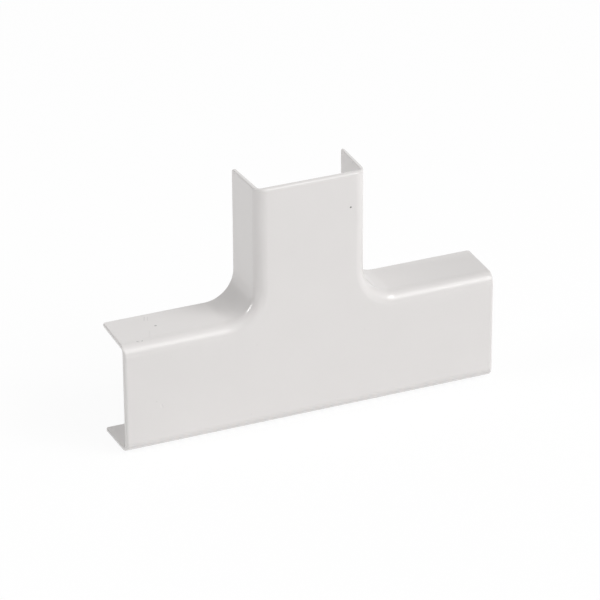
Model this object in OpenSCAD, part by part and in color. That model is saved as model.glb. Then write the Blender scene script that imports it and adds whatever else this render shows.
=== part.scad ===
// Flat equal tee for surface cable trunking: a clip-over cover, moulded in one piece.
// The front is a plain tee, the back is open, and each of the three mouths has three sides.
// X runs along the run, Y from the front face to the wall, Z up the branch.
// The origin is on the back rim, at the middle of the lower wall's length and thickness.

/* [Run] */
// Length of the run from mouth to mouth
run_length = 118.5; // [106:0.5:180]
// Outside width of the run, measured at the back rim
run_width = 35.8; // [30:0.2:60]

/* [Branch] */
// Outside width of the branch, measured at the back rim
branch_width = 35.8; // [30:0.2:44]
// Rise of the branch mouth above the run
branch_rise = 41.5; // [37:0.5:80]

/* [Moulded section] */
// Depth from the front face to the back rim
depth = 17.5; // [12.5:0.5:30]
// Thickness of the front
front_wall = 1.5; // [1.4:0.1:2.2]
// Thickness of the side walls at the back rim
side_wall = 1; // [0.9:0.1:1.4]
// Slope of the outer faces of the side walls, narrowing towards the front
draft_angle = 1.5; // [0.5:0.25:2]
// Slope of their inner faces, which makes each wall thicker towards the front
core_draft = 2.5; // [2:0.25:3]
// Outside radius of the round between the front and the side walls
edge_radius = 3.8; // [3:0.1:4.2]
// Inside radius of the same corner
inside_radius = 0.8; // [0.6:0.1:1.4]
// Plan radius of the two inside corners of the tee, measured at the back rim
corner_radius = 9.4; // [6:0.2:12]

/* [Grip beads] */
// Length of a bead, over its round ends
bead_length = 10; // [5:0.5:14]
// How far a bead stands out of its wall
bead_height = 0.8; // [0.4:0.1:0.8]
// Distance from a mouth to the near end of its beads
bead_inset = 14; // [8:0.5:17]
// Distance from the back rim to the middle of a bead
bead_setback = 2.4; // [1.4:0.1:5]

/* [Hidden] */
$fn = 96;

tee_height = run_width + branch_rise;
front_y = -depth;
// Straight stretches of the side walls, from each mouth to where the inside corner begins
arm_length = (run_length - branch_width) / 2 - corner_radius;
neck_length = branch_rise - corner_radius;
// Middle of the inside corner on the +X side
corner_x = branch_width / 2 + corner_radius;
corner_z = run_width + corner_radius;
// A side face lies this much inside the round's edge, so that its line and arc cross cleanly
crossing = 0.001;
// How far in from the rim's outline the outside round and the inside round have their middles
outer_inset = (depth - edge_radius) * tan(draft_angle) + (edge_radius - crossing) / cos(draft_angle);
inner_middle = front_wall + inside_radius;
inner_inset = side_wall + (depth - inner_middle) * tan(core_draft)
    + (inside_radius - crossing) / cos(core_draft);
// The side section carries this much of the flat front with it, and the plate laps half of that
front_lap = 1;
plate_inset = outer_inset + front_lap / 2;
// Round an inside corner the flat reaches past the corner that the plate's outline turns
// there, by whole millimetres so that the rim stays in one plane with the straight walls'
corner_lap = ceil((corner_radius + plate_inset) * sqrt(2) - corner_radius - outer_inset + front_lap);
// A bead's axis lies just inside the inner face of its wall
bead_sink = 0.1;
bead_radius = bead_height + bead_sink;
bead_seat = side_wall + bead_setback * tan(core_draft) - bead_sink;

// All that lies behind a face: a round at the origin with the given radius, the flat front
// that runs from it towards +X, and a side face at a slope. Reach is how far back and in.
module behind_face(radius, slope, reach) {
    circle(r = radius);
    translate([0, -radius])
        square([reach, radius + reach]);
    rotate(slope)
        translate([-radius + crossing, 0])
            square(radius + reach);
}

// Section through a side wall with lap of the flat front. X runs inwards from the rim's
// outline, Y back from the front.
module side_section(lap = front_lap) {
    reach = depth + lap;
    intersection() {
        difference() {
            translate([outer_inset, edge_radius])
                behind_face(edge_radius, draft_angle, reach);
            translate([inner_inset, inner_middle])
                behind_face(inside_radius, core_draft, 2 * reach);
        }
        // Ends the wall at the back rim, and the flat at its lap
        translate([outer_inset + lap - reach, -lap])
            square([reach, lap + depth]);
    }
}

// Side wall whose outline ends at x, carried over length towards -X along the underside
module run_side(x, length) {
    translate([x, front_y, 0])
        rotate([0, -90, 0])
            linear_extrude(length)
                side_section();
}

// Stepped side wall on the +X half: along the arm, round the inside corner, up the branch
module shoulder_side() {
    translate([0, 0, run_width])
        mirror([0, 0, 1])
            run_side(run_length / 2, arm_length);
    translate([corner_x, front_y, corner_z])
        rotate([-90, 0, 0])
            rotate([0, 0, 90])
                rotate_extrude(angle = 90)
                    translate([corner_radius, 0])
                        side_section(corner_lap);
    translate([branch_width / 2, front_y, corner_z])
        mirror([1, 0, 0])
            linear_extrude(neck_length)
                side_section();
}

// Plan of the front plate: run and branch, open at the mouths and inset along the sides
module plate_plan() {
    translate([-run_length / 2, plate_inset])
        square([run_length, run_width - 2 * plate_inset]);
    translate([-branch_width / 2 + plate_inset, run_width / 2])
        square([branch_width - 2 * plate_inset, tee_height - run_width / 2]);
}

module front_plate() {
    translate([0, front_y + front_wall, 0])
        rotate([90, 0, 0])
            linear_extrude(front_wall)
                plate_plan();
}

// A low bead with ball ends, lying along X with its middle at the origin
module grip_bead() {
    barrel = bead_length - 2 * bead_radius;
    rotate([0, 90, 0])
        rotate_extrude()
            intersection() {
                union() {
                    translate([0, -barrel / 2])
                        square([bead_radius, barrel]);
                    for (end = [-1, 1])
                        translate([0, end * barrel / 2])
                            circle(r = bead_radius);
                }
                translate([0, -bead_length])
                    square([bead_radius * 2, bead_length * 2]);
            }
}

// Beads that grip the trunking inside the three mouths, two to a mouth
module grip_beads() {
    reach = bead_inset + bead_length / 2;
    for (side = [0, 1])
        mirror([side, 0, 0]) {
            for (z = [bead_seat, run_width - bead_seat])
                translate([run_length / 2 - reach, -bead_setback, z])
                    grip_bead();
            translate([branch_width / 2 - bead_seat, -bead_setback, tee_height - reach])
                rotate([0, 90, 0])
                    grip_bead();
        }
}

// The whole moulding: flat front, and one section carried along every side. It is drawn
// with its lowest edge at Z 0, then lowered until the origin is in the middle of the rim.
module tee_cover() {
    color("whitesmoke")
        translate([0, 0, -side_wall / 2])
            union() {
                front_plate();
                run_side(run_length / 2, run_length);
                for (side = [0, 1])
                    mirror([side, 0, 0])
                        shoulder_side();
                grip_beads();
            }
}

tee_cover();
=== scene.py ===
"""A white tee cover for surface trunking, on a pale floor in soft studio light.

The cover is one moulding. Its skin is worked out here from the sizes that the CAD solid has,
with the small rounds that a real moulding has at its rim and mouths. The cover's lengths are
in millimetres until its mesh is made. Those of the floor and the lamps are in metres.
"""

import math
from collections import namedtuple

import bpy
import numpy as np
from mathutils import Matrix, Vector


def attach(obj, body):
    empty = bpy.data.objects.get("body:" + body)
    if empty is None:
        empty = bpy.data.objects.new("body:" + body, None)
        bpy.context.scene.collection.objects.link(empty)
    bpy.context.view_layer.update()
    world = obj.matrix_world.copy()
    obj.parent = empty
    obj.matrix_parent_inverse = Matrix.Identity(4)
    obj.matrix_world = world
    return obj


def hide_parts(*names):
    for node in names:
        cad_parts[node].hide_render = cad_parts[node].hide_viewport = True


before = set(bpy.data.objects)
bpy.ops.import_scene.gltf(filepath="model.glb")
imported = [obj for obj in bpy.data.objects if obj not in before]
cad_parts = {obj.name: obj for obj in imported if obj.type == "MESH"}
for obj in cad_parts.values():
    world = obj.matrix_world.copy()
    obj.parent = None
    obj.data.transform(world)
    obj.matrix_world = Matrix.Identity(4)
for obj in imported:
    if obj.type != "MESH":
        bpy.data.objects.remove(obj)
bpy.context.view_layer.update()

# Camera: the cover is seen from the front left and from above, through a long lens.
# The angles were fitted to the straight edges of the moulding, for a picture of 600 by 600.
# TARGET falls on TARGET_PIXEL, counted from the picture's upper left corner.
MM = 0.001
VIEW_AZIMUTH = math.radians(-23.4046)
VIEW_ELEVATION = math.radians(26.6788)
VIEW_ROLL = math.radians(-0.3519)
VIEW_DISTANCE = 1119.1
FOCAL_PIXELS = 3794.25
PICTURE_SIDE = 600
SENSOR_WIDTH = 36
CLIP_NEAR = 0.05
CLIP_FAR = 50
TARGET = Vector((0, -8.5, 34.5))
TARGET_PIXEL = (300.311, 299.282)

to_eye = Vector(
    (
        math.sin(VIEW_AZIMUTH) * math.cos(VIEW_ELEVATION),
        -math.cos(VIEW_AZIMUTH) * math.cos(VIEW_ELEVATION),
        math.sin(VIEW_ELEVATION),
    )
)
level = Vector((math.cos(VIEW_AZIMUTH), math.sin(VIEW_AZIMUTH), 0))
upright = to_eye.cross(level)
right = math.cos(VIEW_ROLL) * level + math.sin(VIEW_ROLL) * upright
up = math.cos(VIEW_ROLL) * upright - math.sin(VIEW_ROLL) * level
pixels_per_mm = FOCAL_PIXELS / VIEW_DISTANCE
off_right = (TARGET_PIXEL[0] - PICTURE_SIDE / 2) / pixels_per_mm
off_up = (TARGET_PIXEL[1] - PICTURE_SIDE / 2) / pixels_per_mm
eye = TARGET + to_eye * VIEW_DISTANCE - right * off_right + up * off_up

camera_data = bpy.data.cameras.new("camera")
camera_data.sensor_width = SENSOR_WIDTH
camera_data.lens = FOCAL_PIXELS / PICTURE_SIDE * camera_data.sensor_width
camera_data.clip_start = CLIP_NEAR
camera_data.clip_end = CLIP_FAR
camera = bpy.data.objects.new("camera", camera_data)
camera.matrix_world = Matrix.Translation(eye * MM) @ Matrix(
    (
        (right.x, up.x, to_eye.x),
        (right.y, up.y, to_eye.y),
        (right.z, up.z, to_eye.z),
    )
).to_4x4()
bpy.context.scene.collection.objects.link(camera)
bpy.context.scene.camera = camera

# Tee cover: the whole fitting, one injection moulding in rigid white PVC with a polished
# skin. It left its mould backwards off a core, so its thin side walls slope, on the inside
# more than on the outside. Inside, two low beads to a mouth hold it on the trunking.
RUN_LENGTH = 118.5
RUN_WIDTH = 35.8
BRANCH_WIDTH = 35.8
BRANCH_RISE = 41.5
DEPTH = 17.5
FRONT_WALL = 1.5
SIDE_WALL = 1.0
CORNER_RADIUS = 9.4
FREE_CORNER = 1.0
BEAD_LENGTH = 10
BEAD_HEIGHT = 0.8
BEAD_HALF_WIDTH = 1.1
BEAD_INSET = 14
BEAD_SETBACK = 2.4

# A face of the moulding: which way it faces along the inset, the slope of its side, the radius
# between its flat and its side, how deep its flat lies, how far in its side meets the rim, and
# the small rounds that it has at the rim and at the front of the mouths
Face = namedtuple("Face", "sign slope radius flat rim_inset rim_round mouth_round")
OUTER = Face(-1, math.radians(1.5), 3.8, 0.0, 0.0, 0.5, 0.9)
INNER = Face(1, math.radians(2.5), 0.8, FRONT_WALL, SIDE_WALL, 0.2, 0.2)

# How far back from the front a mouth's round has shrunk to the rim's, and the least that
# the share towards a free corner is taken as, because it divides
ROUND_FADE = 1
LEAST_SPAN = 1e-9

half_run = RUN_LENGTH / 2
tee_height = RUN_WIDTH + BRANCH_RISE
corner_x = BRANCH_WIDTH / 2 + CORNER_RADIUS
corner_z = RUN_WIDTH + CORNER_RADIUS

# How many points the skin has: over the round between flat and side, down the wall to a bead,
# across a bead, over the rim's small round, over one end of a bead, along its middle, round a
# concave corner, across the width of the branch, and up an arm's flat
ROUND_POINTS = 17
WALL_POINTS = 12
BEAD_POINTS = 21
EDGE_POINTS = 7
BEAD_END_POINTS = 12
BEAD_MIDDLE_POINTS = 5
CORNER_POINTS = 25
BRANCH_POINTS = 13
FLAT_POINTS = 9

# Further rows of points: their distances from a mouth or from the rim, from a mouth alone, and
# from an end of a bead to the first row of its middle. The first row over a bead's end lies
# just outside the bead, by this share of its half width.
EDGE_ROWS = (0.85, 0.7)
MOUTH_ROWS = (5, 2.4)
BEAD_MIDDLE_START = 1.5
OUTSIDE_BEAD = 0.1

# Distances from a mouth or from the rim at which the skin has points, down to the edge itself
over_edge = OUTER.rim_round * (1 - np.sin(np.linspace(0, math.pi / 2, EDGE_POINTS)))
near_edge = np.concatenate([[FREE_CORNER], EDGE_ROWS, over_edge])


def side_section(face):
    """Points and normals down a face's side, from the end of its flat to the rim.

    Inset is measured in from the rim's outline, and back from the front. An arc about the
    middle of the round turns the flat's normal to the side's, and a straight line follows
    the slope. Its points are close together across the beads and near the rim.
    """
    turn = np.linspace(0, math.pi / 2 - face.slope, ROUND_POINTS)
    middle_back = face.flat + face.radius
    middle_in = face.rim_inset + (DEPTH - middle_back) * math.tan(face.slope)
    middle_in += face.radius / math.cos(face.slope)
    round_in = middle_in - face.radius * np.sin(turn)
    round_back = middle_back - face.radius * np.cos(turn)
    bead = DEPTH - BEAD_SETBACK + np.linspace(-1, 1, BEAD_POINTS) * BEAD_HALF_WIDTH
    to_bead = np.linspace(round_back[-1], bead[0], WALL_POINTS)
    straight_back = np.concatenate([to_bead[1:], bead[1:], DEPTH - near_edge])
    straight_in = face.rim_inset + (DEPTH - straight_back) * math.tan(face.slope)
    turn = np.concatenate([turn, np.full(len(straight_back), turn[-1])])
    return (
        np.concatenate([round_in, straight_in]),
        np.concatenate([round_back, straight_back]),
        face.sign * np.sin(turn),
        face.sign * np.cos(turn),
    )


# Every stretch of the skin is a grid of points with exact normals. The grids share their
# edge points, so they weld into one closed skin with no seam.
points, normals, faces = [], [], []


def add_grid(place, normal):
    """Adds a grid of points, rows by columns by x y z, with quads that face along normal.

    The sum over the grid of row step cross column step, dotted with the normal, says which
    way round the quads go.
    """
    rows, columns = place.shape[:2]
    first = sum(len(part) for part in points)
    points.append(place.reshape(-1, 3))
    normals.append(normal.reshape(-1, 3))
    index = np.arange(rows * columns).reshape(rows, columns) + first
    quads = np.stack([index[:-1, :-1], index[:-1, 1:], index[1:, 1:], index[1:, :-1]], -1)
    corner = place[:-1, :-1]
    facing = np.cross(place[:-1, 1:] - corner, place[1:, :-1] - corner) * normal[:-1, :-1]
    faces.append((quads if facing.sum() > 0 else quads[..., ::-1]).reshape(-1, 4))


def to_mouth(start, end):
    """Places along a wall from start to a mouth at end, close together where detail is.

    They lie close over the two ends of a bead, from a little outside it to one half width in,
    and near the mouth's edge.
    """
    near = end - BEAD_INSET
    far = near - BEAD_LENGTH
    bead_end = np.linspace(-OUTSIDE_BEAD, 1, BEAD_END_POINTS) * BEAD_HALF_WIDTH
    bead_middle = np.linspace(
        far + BEAD_MIDDLE_START, near - BEAD_MIDDLE_START, BEAD_MIDDLE_POINTS
    )
    over_bead = np.concatenate([far + bead_end, bead_middle, near - bead_end])
    return np.unique(
        np.concatenate([[start], over_bead, end - np.array(MOUTH_ROWS), end - near_edge])
    )


def edge_turn(face, distance, deep):
    """Sine and cosine of the turn a face has made at a distance from its edge, and its drop.

    The edge is a quarter circle, so the sine of the turn is one less the distance over the
    radius, and nothing further away than the radius. The face drops by the radius times one
    less the cosine. The moulding is thin between its rounds, so the radius has shrunk from the
    mouth's to the rim's a little way back from the front.
    """
    radius = np.interp(deep, (0, ROUND_FADE), (face.mouth_round, face.rim_round))
    sine = np.clip(1 - distance / radius, 0, 1)
    cosine = np.sqrt(1 - sine**2)
    return sine, cosine, radius * (1 - cosine)


def bead_rise(from_mouth, deep):
    """How far a bead stands out of the inner face at a place, and how steeply it rises there.

    A bead is a ridge over a straight line. With q the distance from that line over the half
    width, its height is the bead's height times the three-halves power of 1 - q squared. It
    changes with the place by minus three times the bead's height times the root of 1 - q
    squared, times how far the place lies past the line or across from it, over the half
    width squared.
    """
    reach = BEAD_LENGTH / 2 - BEAD_HALF_WIDTH
    along = from_mouth - BEAD_INSET - BEAD_LENGTH / 2
    past = np.sign(along) * np.maximum(np.abs(along) - reach, 0)
    across = deep - (DEPTH - BEAD_SETBACK)
    rest = np.maximum(1 - (past**2 + across**2) / BEAD_HALF_WIDTH**2, 0)
    slope = -3 * BEAD_HEIGHT * np.sqrt(rest) / BEAD_HALF_WIDTH**2
    return BEAD_HEIGHT * rest**1.5, slope * past, slope * across


def carried(face, base, inward, way, from_mouth):
    """The side section carried along a path in the plan, as a grid of places and normals.

    A point is the path's base point, plus its inset along the path's inward direction, plus
    its depth. Near the nearest edge, mouth or rim, it moves in by the drop of the edge's round,
    and its normal turns to face out over that edge.

    Where a mouth meets the rim, the wall's free corner is round. A place there has gone some
    share of the corner's radius towards the mouth and some share towards the rim. The square
    of the two shares is drawn in to a quarter disc: a place keeps its direction, and its
    larger share becomes its distance from the disc's middle.
    """
    inset, deep, normal_in, normal_back = (row[:, None, None] for row in side_section(face))
    base, inward, way = (np.insert(plan, 1, 0.0, axis=1)[None] for plan in (base, inward, way))
    back = np.array([0.0, 1.0, 0.0])
    to_rim = DEPTH - deep
    from_mouth = from_mouth[None, :, None]
    own = inward * normal_in + back * normal_back
    mouth_share = np.clip(1 - from_mouth / FREE_CORNER, 0, 1)
    rim_share = np.clip(1 - to_rim / FREE_CORNER, 0, 1)
    shares = way * mouth_share + back * rim_share
    span = np.maximum(np.hypot(mouth_share, rim_share), LEAST_SPAN)
    drawn = np.where(
        (mouth_share > 0) & (rim_share > 0), np.maximum(mouth_share, rim_share) / span - 1, 0
    )
    sine, cosine, drop = edge_turn(face, np.minimum(from_mouth, to_rim), deep)
    # Close to the rim the round is cut straight across, so that the rim stays in its plane
    across = inward * normal_in + back * normal_back * np.clip(to_rim / FREE_CORNER - 1, 0, 1)
    place = base + inward * inset + back * (deep - DEPTH) + shares * drawn * FREE_CORNER
    place = place - across * drop
    normal = own * cosine + shares / span * sine
    if face is INNER:
        rise, along, over = bead_rise(from_mouth, deep)
        place = place + own * rise
        normal = normal + way * along - back * over
    normal = normal / np.linalg.norm(normal, axis=-1, keepdims=True)
    add_grid(place, normal)
    return place, normal


def flat_skin(face, plan_x, plan_z, from_mouth, way):
    """A stretch of a face's flat, as a grid, rounded over a mouth's edge as the sides are.

    A point has its place in the plan and lies at the flat's depth, moved into the moulding by
    the drop of the mouth's round. Its normal turns from the flat's towards the mouth.
    """
    sine, cosine, drop = edge_turn(face, np.broadcast_to(from_mouth, plan_z.shape), 0)
    depth = face.flat - DEPTH - face.sign * drop
    place = np.stack([np.broadcast_to(plan_x, plan_z.shape), depth, plan_z], -1)
    normal = np.array([0.0, face.sign, 0.0]) * cosine[..., None]
    normal = normal + np.array(way) * sine[..., None]
    add_grid(place, normal)
    return place, normal


def face_of_skin(face):
    """The whole outer or inner face, and the lines at which it meets the rim and the mouths.

    The underside runs from mouth to mouth. Each shoulder comes in along the arm, goes round a
    quarter circle and up the branch. The flat is cut into the two arms, the middle and the
    branch, whose columns end where the columns of the sides begin.
    """
    arm_x = to_mouth(corner_x, half_run)
    neck_z = to_mouth(corner_z, tee_height)
    angle = np.linspace(0, math.pi / 2, CORNER_POINTS)
    inset = side_section(face)[0][0]
    flat_x = corner_x - (CORNER_RADIUS + inset) * np.sin(angle[::-1])
    flat_z = corner_z - (CORNER_RADIUS + inset) * np.cos(angle[::-1])
    core_x = np.linspace(-1, 1, BRANCH_POINTS) * (BRANCH_WIDTH / 2 - inset)
    right_x = np.concatenate([flat_x, arm_x[1:]])
    share = np.linspace(0, 1, FLAT_POINTS)[:, None]

    under_x = np.concatenate([-right_x[::-1], core_x[1:-1], right_x])
    lowest = 0 * under_x
    base, inward = np.stack([under_x, lowest], -1), np.stack([lowest, lowest + 1], -1)
    way = np.stack([np.sign(under_x), lowest], -1)
    under = carried(face, base, inward, way, half_run - np.abs(under_x))
    edges = [[part[-1] for part in under]]
    edges += [[part[:, 0] for part in under], [part[:, -1] for part in under]]

    up_branch = np.full(len(neck_z) - 1, math.pi / 2)
    course = np.concatenate([0 * arm_x, angle[1:], up_branch])
    path_x = corner_x - CORNER_RADIUS * np.sin(course)
    path_z = corner_z - CORNER_RADIUS * np.cos(course)
    path_x[: len(arm_x)] = arm_x[::-1]
    path_z[-len(up_branch) :] = neck_z[1:]
    on_arm = np.arange(len(course)) < len(arm_x)
    from_mouth = np.where(on_arm, half_run - path_x, tee_height - path_z)
    for side in (-1, 1):
        mirror = np.array([side, 1.0])
        base = np.stack([path_x, path_z], -1) * mirror
        inward = -np.stack([np.sin(course), np.cos(course)], -1) * mirror
        way = np.stack([on_arm, ~on_arm], -1) * mirror
        shoulder = carried(face, base, inward, way, from_mouth)
        top = np.concatenate([flat_z, np.full(len(arm_x) - 1, RUN_WIDTH - inset)])
        plan_z = inset + share * (top - inset)
        flat = flat_skin(face, right_x * side, plan_z, half_run - right_x, (side, 0, 0))
        edges += [[part[-1] for part in shoulder], [part[:, 0] for part in shoulder]]
        edges += [[part[:, -1] for part in shoulder], [part[:, -1] for part in flat]]
    rise = np.concatenate([inset + share[:-1, 0] * (corner_z - inset), neck_z])[:, None]
    plan_z = np.broadcast_to(rise, (len(rise), len(core_x)))
    flat = flat_skin(face, core_x, plan_z, tee_height - rise, (0, 0, 1))
    edges.append([part[-1] for part in flat])
    return edges


# A strip of quads joins the two faces along each of those lines, over the rim and the mouths
for outer_line, inner_line in zip(face_of_skin(OUTER), face_of_skin(INNER)):
    add_grid(*(np.stack(pair) for pair in zip(outer_line, inner_line)))

# Points that agree to this many digits of a millimetre weld into one. The skin is drawn with
# its lowest edge at nought, and lowered by half a wall to where the CAD solid lies.
WELD_DIGITS = 5
every_point = np.concatenate(points)
every_point[:, 2] -= SIDE_WALL / 2
every_normal = np.concatenate(normals)
_, keep, weld = np.unique(
    np.round(every_point, WELD_DIGITS), axis=0, return_index=True, return_inverse=True
)
quads = weld.reshape(-1)[np.concatenate(faces)]
moulding = bpy.data.meshes.new("tee_moulding")
moulding.from_pydata((every_point[keep] * MM).tolist(), [], quads.tolist())
moulding.shade_smooth()
moulding.normals_split_custom_set_from_vertices(every_normal[keep].tolist())
tee = bpy.data.objects.new("tee_moulding", moulding)
bpy.context.scene.collection.objects.link(tee)
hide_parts("tee_cover")
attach(tee, "root")

# The PVC is a little warm in colour. Its gloss has a faint grain and slow waves where the melt
# shrank, and handling has left a few fine marks and specks. On a fine scratch and a tiny nick
# the colour also holds painted highlight and painted shade in place of their relief.
PVC_WHITE = (0.831, 0.808, 0.796)
SCUFF_ROUGHNESS = 0.04
SCUFF_HEIGHT = -0.0015
NOISE_LOW = 0.3
NOISE_HIGH = 0.7
plastic = bpy.data.materials.new("white_moulded_pvc")
plastic.use_nodes = True
nodes = plastic.node_tree.nodes
links = plastic.node_tree.links
shader = nodes["Principled BSDF"]
where = nodes.new("ShaderNodeTexCoord").outputs["Object"]


def link_math(nodes, links, operation, *values):
    """A Math node on values that are each a number or another node's output."""
    node = nodes.new("ShaderNodeMath")
    node.operation = operation
    for socket, value in zip(node.inputs, values):
        if isinstance(value, (int, float)):
            socket.default_value = value
        else:
            links.new(value, socket)
    return node.outputs[0]


def patches(size, detail, low, high):
    """Soft random patches about size millimetres across, with values from low to high.

    The value is the noise, with its usual low and high ends moved to the two values.
    """
    noise = nodes.new("ShaderNodeTexNoise")
    noise.inputs["Scale"].default_value = 1 / (size * MM)
    noise.inputs["Detail"].default_value = detail
    links.new(where, noise.inputs["Vector"])
    spread = nodes.new("ShaderNodeMapRange")
    spread.inputs["From Min"].default_value = NOISE_LOW
    spread.inputs["From Max"].default_value = NOISE_HIGH
    spread.inputs["To Min"].default_value = low
    spread.inputs["To Max"].default_value = high
    links.new(noise.outputs["Fac"], spread.inputs["Value"])
    return spread.outputs["Result"]


def mark_group():
    """A node group whose mask is 1 on a line from start over run, and 0 past its half width.

    The place's share of the way along the line is (place - start) . run over run . run, kept
    from 0 to 1. The mask is 1 less the square of the place's distance from that point of the
    line over the half width.
    """
    group = bpy.data.node_groups.new("fine_mark", "ShaderNodeTree")
    for name in ("Place", "Start", "Run"):
        group.interface.new_socket(name, in_out="INPUT", socket_type="NodeSocketVector")
    group.interface.new_socket("Half Width", in_out="INPUT", socket_type="NodeSocketFloat")
    group.interface.new_socket("Mask", in_out="OUTPUT", socket_type="NodeSocketFloat")
    inside, wires = group.nodes, group.links
    given = inside.new("NodeGroupInput").outputs

    def vector_math(operation, first, second, second_socket=1):
        node = inside.new("ShaderNodeVectorMath")
        node.operation = operation
        wires.new(first, node.inputs[0])
        wires.new(second, node.inputs[second_socket])
        return node.outputs

    from_start = vector_math("SUBTRACT", given["Place"], given["Start"])[0]
    along = vector_math("DOT_PRODUCT", from_start, given["Run"])["Value"]
    whole = vector_math("DOT_PRODUCT", given["Run"], given["Run"])["Value"]
    share = link_math(inside, wires, "DIVIDE", along, whole)
    share = link_math(inside, wires, "MAXIMUM", share, 0.0)
    share = link_math(inside, wires, "MINIMUM", share, 1.0)
    nearest = vector_math("SCALE", given["Run"], share, "Scale")[0]
    apart = vector_math("DISTANCE", from_start, nearest)["Value"]
    fade = link_math(inside, wires, "DIVIDE", apart, given["Half Width"])
    fade = link_math(inside, wires, "MINIMUM", fade, 1.0)
    fade = link_math(inside, wires, "POWER", fade, 2.0)
    mask = link_math(inside, wires, "SUBTRACT", 1.0, fade)
    wires.new(mask, inside.new("NodeGroupOutput").inputs["Mask"])
    return group


# Start, run and half width in millimetres, and how much of the white each mark takes away.
# A mark that takes less than nothing is lighter than the moulding. Besides specks and fine
# marks, the list holds a painted highlight and a painted shade on a scratch's flanks, and a
# painted shade in a nick.
MARKS_AND_PAINTED_RELIEF = (
    ((12.2, -17.5, 66.0), (0.1, 0.0, 0.0), 0.3, 0.9),
    ((-45.8, -8.0, 35.1), (0.2, 0.0, 0.0), 0.38, 0.5),
    ((-54.1, -14.7, 34.9), (1.1, -0.6, 0.0), 0.25, 0.4),
    ((-53.0, -15.3, 34.9), (0.5, 0.5, 0.0), 0.25, 0.5),
    ((-46.8, -1.8, 35.2), (-0.8, -2.0, 0.0), 0.22, 0.12),
    ((-45.9, -2.1, 35.2), (-0.8, -2.0, 0.0), 0.22, 0.1),
    ((-48.5, -10.3, 35.0), (-1.3, -3.4, 0.0), 0.3, 0.04),
    ((-49.6, -17.5, 15.6), (0.1, 0.0, -0.1), 0.25, 0.08),
    # Painted highlight and painted shade: the lit and the shaded flank of a fine scratch
    ((-48.4, -17.5, 14.2), (0.2, 0.0, -0.9), 0.25, -0.05),
    ((-47.8, -17.5, 14.2), (0.2, 0.0, -1.0), 0.22, 0.06),
    # Painted shade: the dark side of a tiny nick at the inner edge of the branch mouth
    ((16.5, -9.5, 76.0), (0.0, 0.4, 0.3), 0.2, 0.15),
    ((-17.8, -17.5, 27.1), (0.0, 0.0, 0.3), 0.4, 0.02),
    ((16.8, -17.5, 25.1), (0.0, 0.0, 0.3), 0.4, 0.02),
    ((-19.8, -17.5, 4.7), (0.0, 0.0, 0.2), 0.3, 0.03),
    ((7.9, -17.5, 4.3), (0.2, 0.0, 0.0), 0.3, 0.03),
)
fine_mark = mark_group()
clouds = patches(size=30, detail=2, low=0.0, high=0.02)
mottle = patches(size=0.6, detail=1, low=0.0, high=0.006)
taken = link_math(nodes, links, "ADD", clouds, mottle)
scuffed = None
for start, run, half_width, takes in MARKS_AND_PAINTED_RELIEF:
    mark = nodes.new("ShaderNodeGroup")
    mark.node_tree = fine_mark
    links.new(where, mark.inputs["Place"])
    mark.inputs["Start"].default_value = [value * MM for value in start]
    mark.inputs["Run"].default_value = [value * MM for value in run]
    mark.inputs["Half Width"].default_value = half_width * MM
    mask = mark.outputs["Mask"]
    taken = link_math(nodes, links, "MULTIPLY_ADD", mask, takes, taken)
    scuffed = mask if scuffed is None else link_math(nodes, links, "MAXIMUM", scuffed, mask)

white = nodes.new("ShaderNodeVectorMath")
white.operation = "SCALE"
white.inputs[0].default_value = PVC_WHITE
links.new(link_math(nodes, links, "SUBTRACT", 1.0, taken), white.inputs["Scale"])
links.new(white.outputs["Vector"], shader.inputs["Base Color"])

# Roughness: slow patches, a fine grain, and a little more of it where the skin is marked
gloss_patches = patches(size=9, detail=3, low=0.15, high=0.19)
gloss_grain = patches(size=0.35, detail=1, low=-0.015, high=0.015)
gloss = link_math(nodes, links, "ADD", gloss_patches, gloss_grain)
gloss = link_math(nodes, links, "MULTIPLY_ADD", scuffed, SCUFF_ROUGHNESS, gloss)
links.new(gloss, shader.inputs["Roughness"])

# Heights are in millimetres: waves of shrinkage 7 microns high, a grain of 1 micron, and marks
# 1.5 microns deep
waves = patches(size=11, detail=1, low=0, high=0.007)
grain = patches(size=0.22, detail=2, low=0, high=0.001)
height = link_math(nodes, links, "ADD", waves, grain)
height = link_math(nodes, links, "MULTIPLY_ADD", scuffed, SCUFF_HEIGHT, height)
bump = nodes.new("ShaderNodeBump")
bump.inputs["Strength"].default_value = 1
bump.inputs["Distance"].default_value = MM
links.new(height, bump.inputs["Height"])
links.new(bump.outputs["Normal"], shader.inputs["Normal"])
moulding.materials.append(plastic)

# Floor: a plain pale sheet level with the lowest edge. Straight views and reflections find it
# nearly evenly white, with a faint shadow, as paper looks that is lit from all sides.
FLOOR_REACH = 6.0
SHEET_GREY = (0.9, 0.9, 0.9, 1)
SHEET_ROUGHNESS = 0.8
SHEET_GLOW = 1.02
GLOW_SHARE = 0.9
floor_level = -SIDE_WALL / 2 * MM
floor_data = bpy.data.meshes.new("floor")
corners = [(-1, -1), (1, -1), (1, 1), (-1, 1)]
floor_points = [(x * FLOOR_REACH, y * FLOOR_REACH, floor_level) for x, y in corners]
floor_data.from_pydata(floor_points, [], [(0, 1, 2, 3)])
floor = bpy.data.objects.new("floor", floor_data)
bpy.context.scene.collection.objects.link(floor)
paper = bpy.data.materials.new("pale_floor")
paper.use_nodes = True
floor_data.materials.append(paper)
nodes = paper.node_tree.nodes
links = paper.node_tree.links
sheet = nodes["Principled BSDF"]
sheet.inputs["Base Color"].default_value = SHEET_GREY
sheet.inputs["Roughness"].default_value = SHEET_ROUGHNESS
glow = nodes.new("ShaderNodeEmission")
glow.inputs["Strength"].default_value = SHEET_GLOW
ray = nodes.new("ShaderNodeLightPath").outputs
straight = link_math(nodes, links, "MAXIMUM", ray["Is Camera Ray"], ray["Is Glossy Ray"])
mix = nodes.new("ShaderNodeMixShader")
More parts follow.
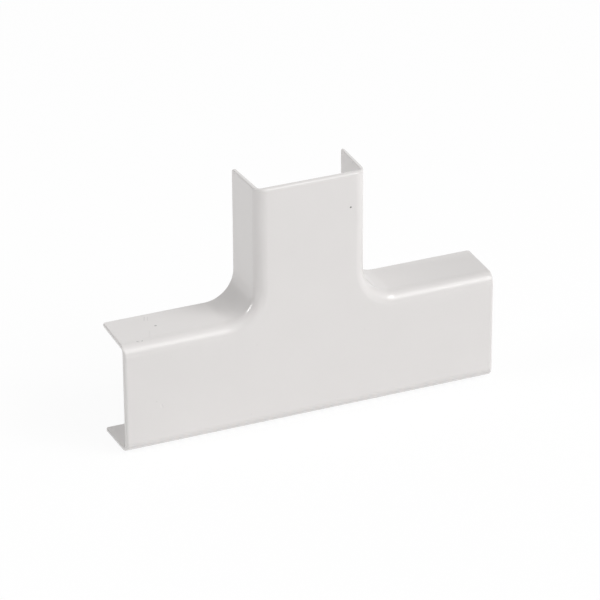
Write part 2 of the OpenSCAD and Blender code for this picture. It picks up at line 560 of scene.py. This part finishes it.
links.new(link_math(nodes, links, "MULTIPLY", straight, GLOW_SHARE), mix.inputs["Fac"])
links.new(sheet.outputs[0], mix.inputs[1])
links.new(glow.outputs[0], mix.inputs[2])
links.new(mix.outputs[0], nodes["Material Output"].inputs["Surface"])

# Room: white as a backdrop, and as a light a dim studio whose walls glow softly in four
# directions, above all from behind the cover and from high on the right. Places in it are
# given by azimuth from the front, positive to the right, and elevation, in degrees.
world = bpy.data.worlds.new("studio")
bpy.context.scene.world = world
world.use_nodes = True
nodes = world.node_tree.nodes
links = world.node_tree.links


def towards(azimuth, elevation):
    """The unit vector from the cover towards an azimuth and elevation in degrees."""
    turn, rise = math.radians(azimuth), math.radians(elevation)
    return Vector(
        (math.sin(turn) * math.cos(rise), -math.cos(turn) * math.cos(rise), math.sin(rise))
    )


# Azimuth, elevation and brightness of the middle of each soft patch of wall. A patch has
# faded to half its brightness 28 degrees away from its middle. Its light is the brightness
# times e to the power of the fade times one less than the cosine of the angle away.
WALL_GLOW = ((180, 10, 1.48), (135, 10, 0.3), (0, 45, 0.57), (45, 45, 1.27))
WALL_FADE = 6.0
ROOM_WHITE = (1, 1, 1, 1)
view = nodes.new("ShaderNodeTexCoord").outputs["Generated"]
wall_light = 0.0
for azimuth, elevation, brightness in WALL_GLOW:
    facing = nodes.new("ShaderNodeVectorMath")
    facing.operation = "DOT_PRODUCT"
    links.new(view, facing.inputs[0])
    facing.inputs[1].default_value = towards(azimuth, elevation)
    away = link_math(nodes, links, "SUBTRACT", facing.outputs["Value"], 1.0)
    away = link_math(nodes, links, "MULTIPLY", away, WALL_FADE)
    patch = link_math(nodes, links, "EXPONENT", away)
    wall_light = link_math(nodes, links, "MULTIPLY_ADD", patch, brightness, wall_light)
room = nodes["Background"]
room.inputs["Color"].default_value = ROOM_WHITE
links.new(wall_light, room.inputs["Strength"])
backdrop = nodes.new("ShaderNodeBackground")
backdrop.inputs["Color"].default_value = ROOM_WHITE
backdrop.inputs["Strength"].default_value = 1
ray = nodes.new("ShaderNodeLightPath").outputs
mix = nodes.new("ShaderNodeMixShader")
links.new(ray["Is Camera Ray"], mix.inputs["Fac"])
links.new(room.outputs[0], mix.inputs[1])
links.new(backdrop.outputs[0], mix.inputs[2])
links.new(mix.outputs[0], nodes["World Output"].inputs["Surface"])

# Softboxes: a bright pair high on the right draws the highlights on the rounds, a weaker and
# taller box stands beside it, and a strip lower down on the left lights the walls there.
LAMP_DISTANCE = 1.5


def softbox(name, azimuth, elevation, width, height, brightness):
    """A soft light that faces the cover from an azimuth and elevation, sized in degrees.

    Its side is twice its distance times the tangent of half its angle, and its power in watts
    is pi times its brightness times its area.
    """
    data = bpy.data.lights.new(name, "AREA")
    data.shape = "RECTANGLE"
    data.size = 2 * LAMP_DISTANCE * math.tan(math.radians(width) / 2)
    data.size_y = 2 * LAMP_DISTANCE * math.tan(math.radians(height) / 2)
    data.energy = math.pi * brightness * data.size * data.size_y
    lamp = bpy.data.objects.new(name, data)
    way = towards(azimuth, elevation)
    lamp.location = TARGET * MM + way * LAMP_DISTANCE
    lamp.rotation_euler = way.to_track_quat("Z", "Y").to_euler()
    bpy.context.scene.collection.objects.link(lamp)


softbox("key", azimuth=41, elevation=34, width=12, height=11, brightness=9.8)
softbox("key_high", azimuth=52, elevation=46, width=12, height=12, brightness=10.4)
softbox("fill", azimuth=25, elevation=40, width=16, height=30, brightness=2.2)
softbox("strip", azimuth=-92, elevation=26, width=10, height=22, brightness=11.6)

bpy.context.scene.view_settings.view_transform = "Standard"
